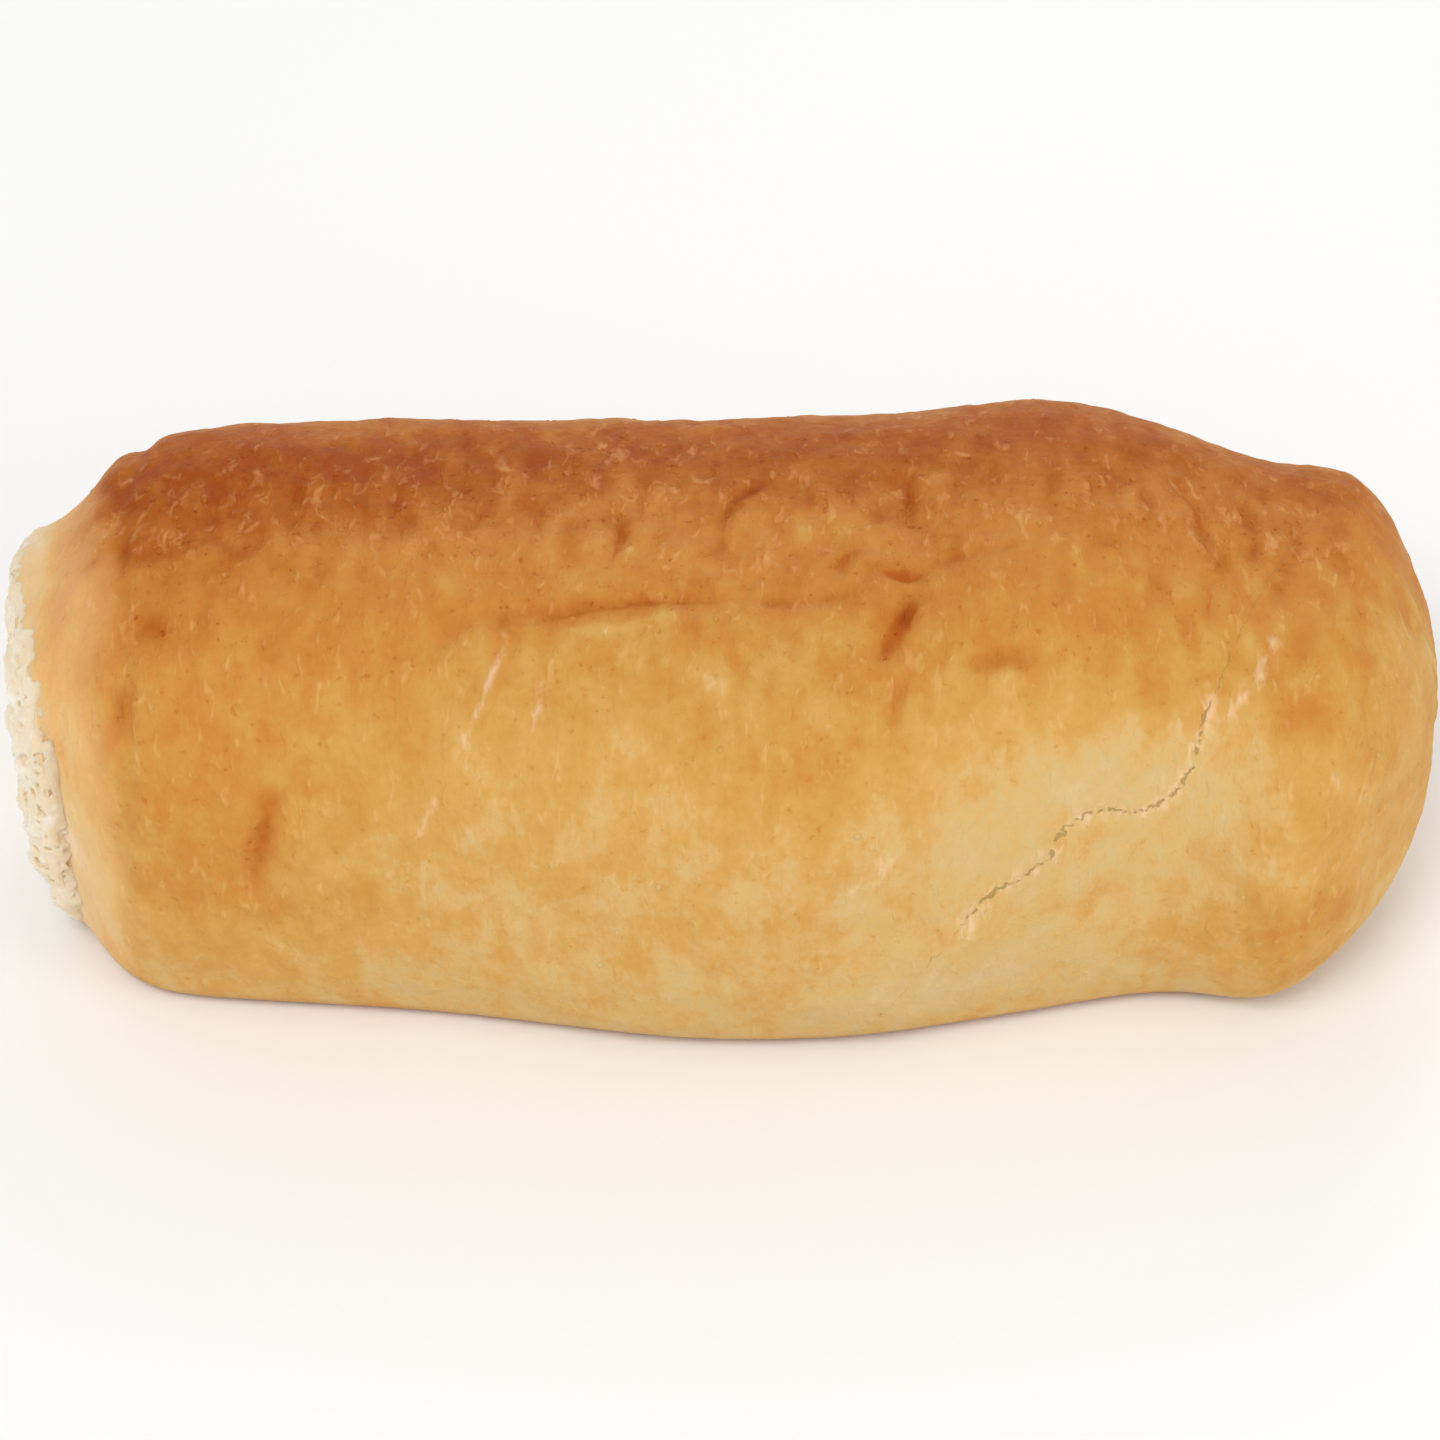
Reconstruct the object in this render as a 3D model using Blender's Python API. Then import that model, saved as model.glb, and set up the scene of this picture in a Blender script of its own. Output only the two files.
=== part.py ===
"""Panini roll: a soft, long sandwich roll that was pulled off its neighbour at one end.

The roll is one solid, lying on its flat foot. Its frame is in metres: +Z is up, +X runs along
the roll from the torn end to the rounded end, and -Y is the broad golden side. The origin is
the middle of the box around the roll, at the foot.
"""

import bmesh
import bpy
import numpy as np
from mathutils import noise

# Driving dimensions
BODY_LENGTH = 0.1684  # between the body's own ends, without the torn stub
BODY_CENTRE_X = 0.0043  # the body sits towards the rounded end, as the stub takes the other
CROWN_HEIGHT = 0.0564
BACK_DEPTH = 0.0444  # from the roll's axis line to its back
FRONT_DEPTH = 0.0279  # and to its front, at its narrowest
AXIS_HEIGHT = 0.0240  # the level at which the roll is widest
FOOT_SINK = 0.0120  # how far the dough's curve would reach below the tray
FOOT_ROUNDING = 0.0040  # how softly the side turns into the flat foot
FOOT_SNAP = 0.0001  # what thinning lifts off the tray by less than this is set down again

# Roundness: 2 is an ellipse, and more is squarer
SECTION_POWER = 2.5
TORN_END_POWER = 8.3
ROUND_END_POWER = 3.0
ROUND_END_SLANT = 0.13  # the rounded end reaches further at the back, by this much per metre

# Swells of the dough, each (place along X, spread, height)
CROWN_SWELLS = (
    (0.0415, 0.0180, 0.0036),
    (0.0786, 0.0085, 0.0060),
)
FRONT_SWELLS = (
    (0.0048, 0.0365, 0.0083),
    (0.0742, 0.0122, 0.0120),
    (-0.0831, 0.0080, -0.0081),  # the front corner at the torn end is rounder
)

# The stub at the torn end, where the next roll was pulled off. The rings of the end face run
# from 1, its edge, to 0, its middle
NECK_FOOT_RING = 0.86  # where the end face turns out into the neck
TEAR_RIM_RING = 0.55  # where the neck's skin ends and the torn crumb begins
STUB_SHARE = 0.73  # the stub's size, as a share of the body's section
STUB_FLATTENING = 0.10  # the stub is this much flatter than the body
STUB_FORWARD = 0.0022  # how far in front of the body's middle the stub sits
NECK_LENGTH = 0.0026
CRUMB_BULGE = 0.0053
CRUMB_ROUNDNESS = 3.0  # how flat-topped the bulge of crumb is
TEAR_SLANT = 0.09  # the tear reaches further at the back, by this much per metre
TEAR_LEAN = 0.03  # and at the crown
TEAR_WANDER = 0.0016  # how unevenly the neck tore off
TEAR_WANDER_SIZE = 0.0200

# Relief of the crust, faded out towards the foot
FOOT_FADE = 0.0060
LUMP_SIZE = 0.0160
LUMP_HEIGHT = 0.0006
TEAR_GRAIN = 0.0055
TEAR_ROUGHNESS = 0.0011

# Creases of the crust, each (half width, depth, path). A path's places are (metres along X,
# degrees round the roll), where 0 degrees is the front, 90 the crown and 180 the back. A
# negative depth is a ridge
GIRTH_RADIUS = 0.0360  # turns degrees round the roll into metres
CREASE_END_DEPTH = 0.35  # a crease starts and ends at this share of its depth
CORNER_CUTS = 2  # how often a path's corners are cut, to bend it smoothly
CREASES = (
    # the long soft crease below the crown
    (0.0015, 0.0009, ((-0.0326, 58), (-0.0258, 69), (-0.0186, 60), (-0.0094, 69), (0.0152, 70))),
    # the valley over the crown, with the deep slanting crease at its foot
    (0.0040, 0.0005, ((0.0200, 118), (0.0221, 91), (0.0228, 70), (0.0194, 43))),
    (0.0011, 0.0013, ((0.0228, 70), (0.0181, 53))),
    (0.0009, 0.0007, ((0.0212, 52), (0.0194, 43))),
    # dimples of the front
    (0.0012, 0.0012, ((0.0284, 54), (0.0359, 56))),
    (0.0018, 0.0013, ((-0.0521, 26), (-0.0560, 1))),
    # short creases over the crown
    (0.0009, 0.0006, ((-0.0120, 93), (-0.0133, 78))),
    (0.0009, 0.0004, ((0.0049, 112), (0.0002, 84))),
    (0.0009, 0.0006, ((0.0154, 84), (0.0139, 76))),
    (0.0009, 0.0005, ((0.0188, 75), (0.0402, 84))),
    (0.0013, 0.0008, ((0.0570, 111), (0.0572, 91), (0.0589, 83))),
    # the crack in the pale skin
    (0.0007, 0.0005, ((0.0660, 57), (0.0549, 41), (0.0526, 26), (0.0446, 23), (0.0313, 2))),
    # the pale ridge below the long crease
    (0.0016, -0.0004, ((-0.0256, 55), (-0.0376, 15))),
    # the fold where the crust ends at the neck
    (0.0015, 0.0007, ((-0.0740, 100), (-0.0697, 45), (-0.0721, 8), (-0.0738, -14))),
    # folds of the back
    (0.0016, 0.0009, ((-0.0480, 150), (-0.0250, 158), (0.0020, 149))),
    (0.0012, 0.0010, ((0.0330, 168), (0.0350, 140))),
    (0.0015, 0.0007, ((-0.0740, 100), (-0.0725, 150), (-0.0730, 190))),
)

# Build quality
BLOCK_STEPS = (176, 64, 48)
SOLID_TRIANGLES = 11000

CRUST_COLOUR = (0.62, 0.29, 0.085, 1.0)
CRUST_ROUGHNESS = 0.55


def smoothstep(t):
    t = np.clip(t, 0.0, 1.0)
    return t * t * (3.0 - 2.0 * t)


def swells(x, bumps):
    """The summed height of some bell-shaped swells at x."""
    total = np.zeros_like(x)
    for centre, spread, height in bumps:
        total += height * np.exp(-(((x - centre) / spread) ** 2))
    return total


def dough_block(steps):
    """A cube from -1 to 1, cut into a grid of that many steps along each axis."""
    shape = bmesh.new()
    bmesh.ops.create_cube(shape, size=2.0)
    for axis, count in enumerate(steps):
        along = [
            edge
            for edge in shape.edges
            if abs(edge.verts[0].co[axis] - edge.verts[1].co[axis]) > 1.0
        ]
        bmesh.ops.subdivide_edges(shape, edges=along, cuts=count - 1, use_grid_fill=True)
    mesh = bpy.data.meshes.new("roll")
    shape.to_mesh(mesh)
    shape.free()
    return mesh


def read_vectors(collection, name):
    """A named vector of everything in a mesh's collection, as rows."""
    values = np.empty(len(collection) * 3, np.float32)
    collection.foreach_get(name, values)
    return values.reshape(-1, 3).astype(np.float64)


def move_vertices(mesh, points):
    mesh.vertices.foreach_set("co", points.astype(np.float32).ravel())
    mesh.update()


def uneven(points, size):
    """Smooth noise from -1 to 1, with bumps of that size."""
    return np.array([noise.noise(place) for place in (points / size).tolist()])


def torn_end(ring):
    """The rings of the torn end: their share of the section, and their part of neck and bulge."""
    neck = np.clip((NECK_FOOT_RING - ring) / (NECK_FOOT_RING - TEAR_RIM_RING), 0.0, 1.0)
    face = STUB_SHARE * np.sin(np.pi / 2 * np.clip(ring / TEAR_RIM_RING, 0.0, 1.0))
    wall = STUB_SHARE + (NECK_FOOT_RING - STUB_SHARE) * (1.0 - neck) ** 2
    share = np.where(ring < TEAR_RIM_RING, face, wall)
    share = np.where(ring > NECK_FOOT_RING, ring, share)
    bulge = np.sqrt(np.clip(1.0 - (face / STUB_SHARE) ** CRUMB_ROUNDNESS, 0.0, 1.0))
    return share, neck**2, bulge


def rest_on_tray(z):
    """Flattens what would hang below the tray into the foot, with a rounded rim."""
    rim = np.maximum(FOOT_ROUNDING - np.abs(z), 0.0)
    return np.maximum(z, 0.0) + rim**2 / (4 * FOOT_ROUNDING)


def plain_roll(block):
    """The block's points moved onto the roll, and how much of neck and bulge each one has."""
    block_x, block_y, block_z = block.T
    ring = np.maximum(np.abs(block_y), np.abs(block_z))
    power = SECTION_POWER
    section = (np.abs(block_y) ** power + np.abs(block_z) ** power) ** (1 / power)
    end_power = np.where(block_x < 0, TORN_END_POWER, ROUND_END_POWER)
    shrink = (np.abs(block_x) ** end_power + ring**end_power) ** (-1 / end_power)
    share, neck, bulge = torn_end(ring)
    torn = block_x <= -1.0
    share = np.where(torn, share, ring)
    neck = np.where(torn, neck, 0.0)
    bulge = np.where(torn, bulge, 0.0)
    reach = share * shrink / np.maximum(section, 1e-9)
    across = block_y * reach
    up = block_z * reach * (1.0 - STUB_FLATTENING * neck)
    along = block_x * shrink

    x = BODY_CENTRE_X + BODY_LENGTH / 2 * along
    crown = CROWN_HEIGHT + swells(x, CROWN_SWELLS)
    back = BACK_DEPTH * crown / CROWN_HEIGHT
    front = FRONT_DEPTH + swells(x, FRONT_SWELLS)
    y = across * np.where(across < 0, front, back) - STUB_FORWARD * neck
    z = AXIS_HEIGHT + up * np.where(up > 0, crown - AXIS_HEIGHT, AXIS_HEIGHT + FOOT_SINK)
    x += ROUND_END_SLANT * y * smoothstep(along)
    x -= neck * (NECK_LENGTH + TEAR_SLANT * y + TEAR_LEAN * (z - AXIS_HEIGHT))
    x -= CRUMB_BULGE * bulge
    points = np.stack([x, y, rest_on_tray(z)], axis=1)
    points[:, 0] -= TEAR_WANDER * neck * uneven(points, TEAR_WANDER_SIZE)
    return points, neck, bulge


def unrolled(points):
    """Places on the crust, flat: metres along the roll, and metres round it from the front."""
    turn = np.arctan2(points[:, 2] - AXIS_HEIGHT, -points[:, 1])
    turn = np.mod(turn + np.pi / 2, 2 * np.pi) - np.pi / 2
    return np.stack([points[:, 0], GIRTH_RADIUS * turn], axis=1)


def bent(corners):
    """A path with its corners cut, which keeps its two ends."""
    for _ in range(CORNER_CUTS):
        near = 0.75 * corners[:-1] + 0.25 * corners[1:]
        far = 0.25 * corners[:-1] + 0.75 * corners[1:]
        middle = np.stack([near, far], axis=1).reshape(-1, 2)
        corners = np.vstack([corners[:1], middle[1:-1], corners[-1:]])
    return corners


def nearest_on_path(places, path):
    """The distance of each place to a path, and how far along the path that is, from 0 to 1."""
    corners = bent(np.array([(x, GIRTH_RADIUS * np.radians(degrees)) for x, degrees in path]))
    lengths = np.linalg.norm(np.diff(corners, axis=0), axis=1)
    distance = np.full(len(places), np.inf)
    along = np.zeros(len(places))
    travelled = 0.0
    for start, end, length in zip(corners, corners[1:], lengths):
        share = np.clip((places - start) @ (end - start) / length**2, 0.0, 1.0)
        gap = np.linalg.norm(places - start - share[:, None] * (end - start), axis=1)
        along = np.where(gap < distance, travelled + share * length, along)
        distance = np.minimum(gap, distance)
        travelled += length
    return distance, along / travelled


def crease_depth(places):
    total = np.zeros(len(places))
    for half_width, depth, path in CREASES:
        distance, along = nearest_on_path(places, path)
        fullness = CREASE_END_DEPTH + (1 - CREASE_END_DEPTH) * np.sin(np.pi * along)
        total += depth * fullness * np.exp(-((distance / half_width) ** 2))
    return total


def relief(points, neck, bulge):
    """How far the roll's surface stands out of the plain form."""
    crust = LUMP_HEIGHT * uneven(points, LUMP_SIZE) - crease_depth(unrolled(points))
    torn_face = TEAR_ROUGHNESS * uneven(points, TEAR_GRAIN)
    above_foot = smoothstep(points[:, 2] / FOOT_FADE)
    return above_foot * ((1.0 - neck) * crust + bulge * torn_face)


def thinned_out(roll, triangles):
    """The roll's mesh with only about that many triangles, closest where it curves most."""
    thin = roll.modifiers.new("thin out", "DECIMATE")
    thin.ratio = triangles / (2 * len(roll.data.polygons))
    depsgraph = bpy.context.evaluated_depsgraph_get()
    mesh = bpy.data.meshes.new_from_object(roll.evaluated_get(depsgraph))
    roll.modifiers.clear()
    return mesh


def centred(points):
    """The points with the middle of their box at the origin, and their foot flat at zero."""
    lowest = points.min(axis=0)
    highest = points.max(axis=0)
    moved = points - (lowest + highest) / 2 * (1.0, 1.0, 0.0)
    moved[:, 2] = np.where(moved[:, 2] < FOOT_SNAP, 0.0, moved[:, 2])
    return moved


def crust_material():
    crust = bpy.data.materials.new("baked crust")
    crust.use_nodes = True
    shader = crust.node_tree.nodes["Principled BSDF"]
    shader.inputs["Base Color"].default_value = CRUST_COLOUR
    shader.inputs["Roughness"].default_value = CRUST_ROUGHNESS
    shader.inputs["Metallic"].default_value = 0.0
    return crust


def main():
    for old in list(bpy.data.objects):
        bpy.data.objects.remove(old)
    dough = dough_block(BLOCK_STEPS)
    points, neck, bulge = plain_roll(read_vectors(dough.vertices, "co"))
    move_vertices(dough, points)
    normals = read_vectors(dough.vertex_normals, "vector")
    move_vertices(dough, points + normals * relief(points, neck, bulge)[:, None])

    roll = bpy.data.objects.new("roll", dough)
    bpy.context.scene.collection.objects.link(roll)
    roll.data = thinned_out(roll, SOLID_TRIANGLES)
    move_vertices(roll.data, centred(read_vectors(roll.data.vertices, "co")))
    roll.data.shade_smooth()
    roll.data.materials.append(crust_material())


main()
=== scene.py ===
"""The looks of the panini roll: its baked crust, its torn crumb and the blisters of its skin.

The frame's solid gives the roll its place and its box. The crust here is the same dough form,
made fine enough for its creases and wrinkles. Everything is in metres, with +Z up and +X from
the torn end to the rounded end.
"""

import math
from functools import partial

import bmesh
import bpy
import numpy as np
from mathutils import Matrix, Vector, noise


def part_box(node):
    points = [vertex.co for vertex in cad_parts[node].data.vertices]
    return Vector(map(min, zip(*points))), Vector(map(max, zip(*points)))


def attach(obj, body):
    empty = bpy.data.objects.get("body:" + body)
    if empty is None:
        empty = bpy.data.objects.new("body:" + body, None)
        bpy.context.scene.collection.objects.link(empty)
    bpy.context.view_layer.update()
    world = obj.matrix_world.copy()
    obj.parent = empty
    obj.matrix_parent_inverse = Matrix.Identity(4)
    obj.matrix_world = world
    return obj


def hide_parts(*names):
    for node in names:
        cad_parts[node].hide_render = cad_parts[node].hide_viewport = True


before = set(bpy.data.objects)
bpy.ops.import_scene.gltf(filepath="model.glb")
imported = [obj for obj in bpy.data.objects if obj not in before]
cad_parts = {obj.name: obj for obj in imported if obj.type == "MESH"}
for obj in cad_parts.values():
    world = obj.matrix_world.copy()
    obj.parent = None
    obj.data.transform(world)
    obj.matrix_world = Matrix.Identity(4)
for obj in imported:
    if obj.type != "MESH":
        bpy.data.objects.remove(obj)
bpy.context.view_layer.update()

MM = 0.001

# ---- the dough's form, as the solid

BODY_LENGTH = 0.1684
BODY_CENTRE_X = 0.0043
CROWN_HEIGHT = 0.0564
BACK_DEPTH = 0.0444
FRONT_DEPTH = 0.0279
AXIS_HEIGHT = 0.0240
FOOT_SINK = 0.0120
FOOT_ROUNDING = 0.0040
SECTION_POWER = 2.5
TORN_END_POWER = 8.3
ROUND_END_POWER = 3.0
ROUND_END_SLANT = 0.13

# Swells of the dough, each (place along X, spread, height)
CROWN_SWELLS = (
    (0.0415, 0.0180, 0.0036),
    (0.0786, 0.0085, 0.0060),
)
FRONT_SWELLS = (
    (0.0048, 0.0365, 0.0083),
    (0.0742, 0.0122, 0.0120),
    (-0.0831, 0.0080, -0.0081),
)

# The stub at the torn end. Rings of the end face run from 1, its edge, to 0, its middle
NECK_FOOT_RING = 0.86
TEAR_RIM_RING = 0.55
STUB_SHARE = 0.73
STUB_FLATTENING = 0.10
STUB_FORWARD = 0.0022
NECK_LENGTH = 0.0026
CRUMB_BULGE = 0.0053
CRUMB_ROUNDNESS = 3.0
TEAR_SLANT = 0.09
TEAR_LEAN = 0.03
TEAR_WANDER = 0.0016
TEAR_WANDER_SIZE = 0.0200

FOOT_FADE = 0.0060
LUMP_SIZE = 0.0160
LUMP_HEIGHT = 0.0006
TEAR_GRAIN = 0.0055
TEAR_ROUGHNESS = 0.0011

# Creases of the crust, each (half width, depth, path). A path's places are (metres along X,
# degrees round the roll), where 0 degrees is the front, 90 the crown and 180 the back. A
# negative depth is a ridge
GIRTH_RADIUS = 0.0360
CREASE_END_DEPTH = 0.35
CORNER_CUTS = 2
CREASE_SWAY = 0.0004
CREASE_SWAY_SIZE = 0.0030
CREASE_TAPER = 0.6
CREASE_BREAKS = 0.45  # how unevenly deep a crease is along its way
CREASE_CRISPNESS = 2.6
CREASE_DARKEST_DEPTH = 0.0013
CREASE_SHADE_WIDTH = 2.0  # how far its darker colour spreads, in half widths
CREASE_SHADE_POWER = 0.7  # below 1, so that a shallow crease is darker than its depth tells
# Each crease darkens the crust's colour round it, the deeper the darker: partly its browner crust,
# partly painted shade
CREASES = (
    # the deep slanting crease, which is widest below its middle
    (0.0006, 0.0004, ((0.0236, 76), (0.0221, 67), (0.0201, 60), (0.0174, 53))),
    (0.0013, 0.0009, ((0.0226, 71), (0.0206, 61), (0.0180, 54))),
    (0.0008, 0.0005, ((0.0209, 51), (0.0196, 42))),
    # the thin line in the long crease
    (0.0006, 0.0004, ((-0.0225, 64), (-0.0187, 66), (-0.0145, 68), (-0.0018, 70), (0.0060, 69))),
    # short creases over the crown
    (0.0009, 0.0007, ((-0.0123, 95), (-0.0118, 88), (-0.0135, 78))),
    (0.0008, 0.0005, ((0.0049, 112), (0.0048, 105), (0.0008, 101), (-0.0003, 83))),
    (0.0009, 0.0006, ((0.0154, 84), (0.0139, 76))),
    (0.0013, 0.0008, ((0.0186, 77), (0.0212, 75), (0.0238, 76))),
    (0.0008, 0.0004, ((0.0260, 78), (0.0292, 79))),
    (0.0008, 0.0004, ((0.0322, 80), (0.0352, 81))),
    (0.0009, 0.0006, ((0.0226, 108), (0.0224, 97), (0.0211, 92))),
    (0.0009, 0.0005, ((0.0550, 111), (0.0572, 104), (0.0580, 92), (0.0589, 83))),
    (0.0008, 0.0005, ((0.0579, 78), (0.0575, 65))),
    (0.0008, 0.0004, ((0.0511, 110), (0.0516, 96))),
    (0.0008, 0.0004, ((-0.0093, 109), (-0.0104, 96))),
    (0.0008, 0.0003, ((-0.0512, 112), (-0.0515, 94))),
    (0.0007, 0.0004, ((-0.0034, 67), (-0.0034, 60))),
    (0.0007, 0.0004, ((-0.0030, 75), (-0.0017, 70))),
    (0.0007, 0.0004, ((0.0038, 76), (0.0025, 69))),
    (0.0009, 0.0004, ((0.0401, 73), (0.0396, 63))),
    (0.0009, 0.0004, ((0.0513, 78), (0.0517, 68))),
    (0.0009, 0.0003, ((-0.0542, 47), (-0.0534, 36))),
    # creases of the back
    (0.0018, 0.0006, ((-0.0480, 150), (-0.0250, 158), (0.0020, 149))),
    (0.0014, 0.0006, ((0.0330, 168), (0.0342, 152), (0.0330, 140))),
)
# Soft folds, which are no darker than the crust round them
FOLDS = (
    # the long crease below the crown
    (0.0017, 0.0006, ((-0.0338, 59), (-0.0258, 67), (-0.0187, 64), (-0.0094, 69), (0.0010, 68))),
    (0.0012, 0.0004, ((-0.0010, 69), (0.0080, 68), (0.0152, 70))),
    # dimples of the front
    (0.0014, 0.0010, ((0.0284, 54), (0.0359, 56))),
    (0.0016, 0.0008, ((-0.0525, 29), (-0.0563, -3))),
    (0.0015, 0.0007, ((-0.0712, 52), (-0.0707, 40))),
    # the valley over the crown
    (0.0040, 0.0005, ((0.0200, 118), (0.0221, 91), (0.0228, 70), (0.0194, 43))),
    # the pale ridge below the long crease
    (0.0016, -0.0004, ((-0.0256, 55), (-0.0376, 15))),
    # where the crust ends at the neck
    (0.0015, 0.0007, ((-0.0740, 100), (-0.0697, 45), (-0.0721, 8), (-0.0738, -14))),
    (0.0015, 0.0007, ((-0.0740, 100), (-0.0725, 150), (-0.0730, 190))),
)

# Streaks that are baked more or less than the crust beside them, each (half width, amount, path).
# Those in creases and dimples are partly their browner crust and partly painted shade
SHADE_AND_BAKE_STREAKS = (
    # painted shade along the long crease, partly its browner crust, and the pale lip below it
    (0.0017, 0.15, ((-0.0338, 60), (-0.0258, 67), (-0.0187, 66), (-0.0094, 69), (0.0012, 68))),
    (0.0012, 0.12, ((0.0012, 68), (0.0082, 68), (0.0152, 70))),
    (0.0007, -0.09, ((-0.0200, 62), (-0.0131, 61), (-0.0088, 64), (-0.0038, 66))),
    # painted shade in a crease of the crown, partly its browner crust
    (0.0009, 0.09, ((0.0049, 112), (0.0048, 105), (0.0008, 101), (-0.0003, 83), (-0.0010, 78))),
    # painted shade in and beside the deep crease, partly its browner crust
    (0.0013, 0.04, ((0.0228, 72), (0.0207, 61), (0.0178, 53))),
    (0.0013, 0.07, ((0.0230, 75), (0.0274, 78), (0.0339, 80))),
    (0.0009, 0.06, ((0.0209, 53), (0.0194, 42))),
    # painted shade and warm bounced light in the dimples
    (0.0014, 0.21, ((0.0288, 54), (0.0356, 56))),
    (0.0014, 0.25, ((-0.0525, 29), (-0.0548, 12), (-0.0563, -3))),
    (0.0012, 0.12, ((-0.0712, 51), (-0.0708, 41))),
)

# The crack in the pale skin, which opens and closes along its way
CRACK_PATH = (
    (0.0572, 48), (0.0560, 43), (0.0552, 34), (0.0533, 27), (0.0512, 24), (0.0488, 22),
    (0.0441, 24), (0.0402, 20), (0.0383, 11), (0.0348, 8), (0.0314, 4), (0.0290, -2),
)
CRACK_HALF_WIDTH = 0.00070
CRACK_DEPTH = 0.00022
CRACK_OPENING = 0.20  # the half width of its dark line, in millimetres
CRACK_EDGE = 0.16  # and how softly that line ends
CRACK_WANDER = 2.4  # how wide a strip the line strays over, in millimetres
CRACK_REACH = 0.0030  # beyond this its distance doesn't matter
# Where the skin has flaked into thin pale streaks, each (half width, path)
FLAKE_STREAKS = (
    (0.0015, ((0.0395, 17), (0.0330, 6), (0.0285, -6))),
    (0.0018, CRACK_PATH),
    (0.0006, ((-0.0256, 57), (-0.0307, 36))),
    (0.0007, ((-0.0325, 30), (-0.0364, 15), (-0.0391, 6))),
    (0.0007, ((-0.0210, 50), (-0.0219, 42))),
    (0.0014, ((0.0650, 62), (0.0635, 54), (0.0590, 45))),
    (0.0018, ((0.0220, 20), (0.0160, 10))),
)

# ---- the finer surface of the crust

BLOCK_STEPS = (400, 144, 106)
CRUST_TRIANGLES = 188000
CRUST_SINK = 0.00025  # keeps the finest bumps within the solid's box

WRINKLE_SPACING = 0.0027  # along the roll
WRINKLE_LENGTH = 0.0070  # round it
WRINKLE_DEPTH = 0.00036
WRINKLE_SWAY = 0.35  # in spacings
WRINKLE_SWAY_SIZE = 0.0050
WRINKLE_PATCH_SIZE = 0.0100
WRINKLE_COVER = 0.6  # 0 leaves half of the crust without wrinkles, and 1 little of it
WRINKLE_CONTRAST = 1.3
WRINKLE_SHADE = 0.14  # painted shade: its hollows are darker
WRINKLE_CROWN = 84  # degrees round the roll at which the wrinkles are deepest
WRINKLE_REACH = 46
WRINKLE_LEAST = 0.25  # the share of their depth that is left far from there
BUMP_SIZE = 0.0042
BUMP_HEIGHT = 0.00026
PIMPLE_SIZE = 0.0016
PIMPLE_HEIGHT = 0.00010

# How far the crust is baked: 0 is raw crumb, and 1 the darkest brown
BAKE_SIDE = 0.37
BAKE_CROWN = 0.59  # what the crown has more than the side
BAKE_CENTRE = 117  # degrees round the roll, as the crown's back faced the heat
BAKE_SPREAD = 48
BAKE_FALL = 1.3
BAKE_ROUND_END = 0.50
ROUND_END_RING = 0.85  # the end's rings within this one take on that bake

# Places baked more or less than that, each (metres along X, degrees round, spreads, amount)
BAKE_PATCHES = (
    (-0.062, 15, 0.022, 45, 0.14),  # the torn end's side
    (-0.060, 75, 0.025, 25, 0.07),
    (0.010, 35, 0.012, 16, 0.10),  # the middle of the front
    (0.012, 90, 0.012, 10, -0.08),
    (0.040, 62, 0.020, 10, 0.05),
    (0.040, 12, 0.030, 28, -0.08),  # the pale patch round the crack
    (0.050, 33, 0.015, 10, -0.08),
    (-0.012, 72, 0.015, 4, 0.03),  # painted shade above the long crease
    (0.068, -8, 0.012, 12, 0.15),  # the low corner of the rounded end
    (0.055, 112, 0.030, 15, -0.08),
    (0.0675, 45, 0.0032, 6, 0.15),  # small blotches
    (-0.0669, 64, 0.0028, 4, 0.14),
    (0.0765, 60, 0.0025, 8, 0.08),
    (0.0142, 80, 0.0018, 4, 0.10),
    (0.0104, 101, 0.0015, 4, 0.08),
    (-0.005, 0, 0.040, 15, 0.04),
    (0.086, 92, 0.009, 40, -0.26),  # the top of the rounded end
    # smaller or milder ones
    (-0.064, 105, 0.012, 16, 0.06),
    (0.071, 20, 0.009, 35, 0.07),
    (0.021, 60, 0.008, 18, 0.06),
    (0.055, -15, 0.020, 14, 0.05),
    (-0.057, -6, 0.010, 12, 0.05),
    (-0.010, 101, 0.010, 9, -0.07),
    (0.062, 116, 0.012, 10, -0.07),
    (0.083, 30, 0.006, 30, 0.05),
    (-0.046, 104, 0.014, 10, 0.06),
    (-0.041, 10, 0.010, 25, -0.03),
    (-0.029, 36, 0.006, 8, -0.04),
    (0.016, 75, 0.010, 9, 0.04),
    (0.040, 108, 0.009, 9, 0.04),
    (0.046, 8, 0.010, 14, 0.03),
    (0.034, -22, 0.010, 12, -0.05),
    (0.000, 114, 0.014, 9, -0.05),
    (-0.068, 89, 0.006, 12, 0.06),
    (0.059, 98, 0.005, 6, -0.08),
    (-0.016, 80, 0.006, 14, -0.06),
    (0.009, 72, 0.005, 5, 0.06),
    (-0.004, 60, 0.005, 5, 0.07),
    (-0.038, 58, 0.012, 8, 0.04),
    (0.021, 84, 0.006, 6, 0.04),
    (0.018, -24, 0.014, 8, -0.06),
    (0.071, -27, 0.006, 8, 0.12),
    (0.059, -9, 0.006, 8, -0.07),
)

# The torn neck's skin, from the fold at 0 to the rim of the tear at 1
NECK_FOLD_X = -0.0705
NECK_FOLD_LEAN = 0.0060  # how much nearer the rim it is over the crown
NECK_LEAN_FROM = 70  # degrees round the roll
NECK_LEAN_EASE = 60
NECK_FOLD_SIZE = 0.0060
NECK_FOLD_WANDER = 0.15
NECK_BAKE_EASE = 0.25  # the part of the neck over which the crust's bake gives way
NECK_STRETCH_EASE = 0.6  # and over which its skin is more and more stretched
NECK_BROWNED = 0.32  # the share of the crust's browning that the fold keeps
NECK_BROWNED_FALL = 1.4
NECK_BUMPS = 0.5  # the share of its fine bumps that the rim keeps
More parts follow.
